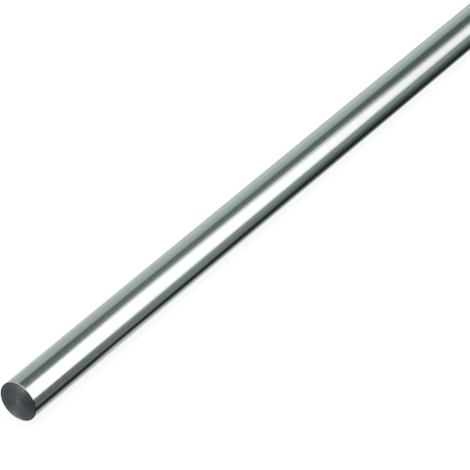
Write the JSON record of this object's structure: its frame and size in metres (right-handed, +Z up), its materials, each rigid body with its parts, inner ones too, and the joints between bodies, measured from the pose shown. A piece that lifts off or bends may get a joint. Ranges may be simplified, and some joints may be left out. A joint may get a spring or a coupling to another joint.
{
  "type": "aluminium round bar",
  "caption": "Straight length of solid round metal bar with a bright drawn side, both ends faced square with slightly rounded rims.",
  "frame": {"origin": "on the floor, under the middle of the bar's length", "axes": "+X along the bar's axis, away from the end nearest the camera, +Z up, and +Y across the bar"},
  "size_m": [1, 0.02, 0.02],
  "materials": {
    "drawn_aluminium": "bright drawn side with fine lines along the bar, ends turned with fine rings"
  },
  "bodies": {
    "root": {"round_bar": "drawn_aluminium"}
  },
  "joints": []
}
